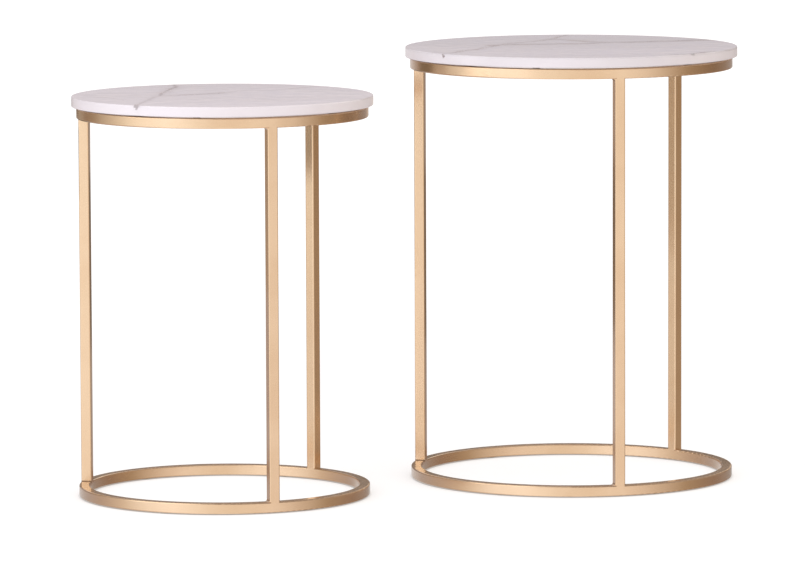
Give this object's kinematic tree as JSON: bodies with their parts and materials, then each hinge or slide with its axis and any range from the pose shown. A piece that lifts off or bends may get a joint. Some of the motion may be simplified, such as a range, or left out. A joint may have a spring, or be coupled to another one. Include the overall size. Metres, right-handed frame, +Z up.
{
  "type": "nesting tables",
  "caption": "Round nesting side tables with stone tops on slim welded square-tube frames, each with a closed ring above and below; the taller is set over the lower.",
  "frame": {"origin": "on the floor, at the middle of the pair's overall box", "axes": "+Z up, +X from the small table's side to the large table's side, along the pair's longest overall extent; -Y is the side they are usually seen from"},
  "size_m": [0.8342, 0.56, 0.548],
  "materials": {
    "marble": "polished white marble with fine grey and rust veins",
    "gold_frame": "satin champagne-gold plating on welded steel tube",
    "zinc_screw": "bright zinc",
    "brass_insert": "turned brass",
    "clear_rubber": "translucent silicone",
    "glide_pad": "matt, self-adhesive pad"
  },
  "bodies": {
    "large_table": {"large_marble_top": "marble", "large_top_inserts": "brass_insert", "large_top_screws": "zinc_screw", "large_top_tabs": "gold_frame", "large_top_bumpers": "clear_rubber", "large_top_ring": "gold_frame", "large_leg_back": "gold_frame", "large_leg_left": "gold_frame", "large_leg_front": "gold_frame", "large_base_ring": "gold_frame", "large_glides": "glide_pad"},
    "small_table": {"small_marble_top": "marble", "small_top_inserts": "brass_insert", "small_top_screws": "zinc_screw", "small_top_tabs": "gold_frame", "small_top_bumpers": "clear_rubber", "small_top_ring": "gold_frame", "small_leg_back": "gold_frame", "small_leg_left": "gold_frame", "small_leg_front": "gold_frame", "small_base_ring": "gold_frame", "small_glides": "glide_pad"}
  },
  "joints": [
    {"name": "small_table_slide", "type": "slide", "parent": "large_table", "child": "small_table", "axis": [0.9373, 0.3486, 0], "range_m": [-0.3, 0.0795]}
  ]
}
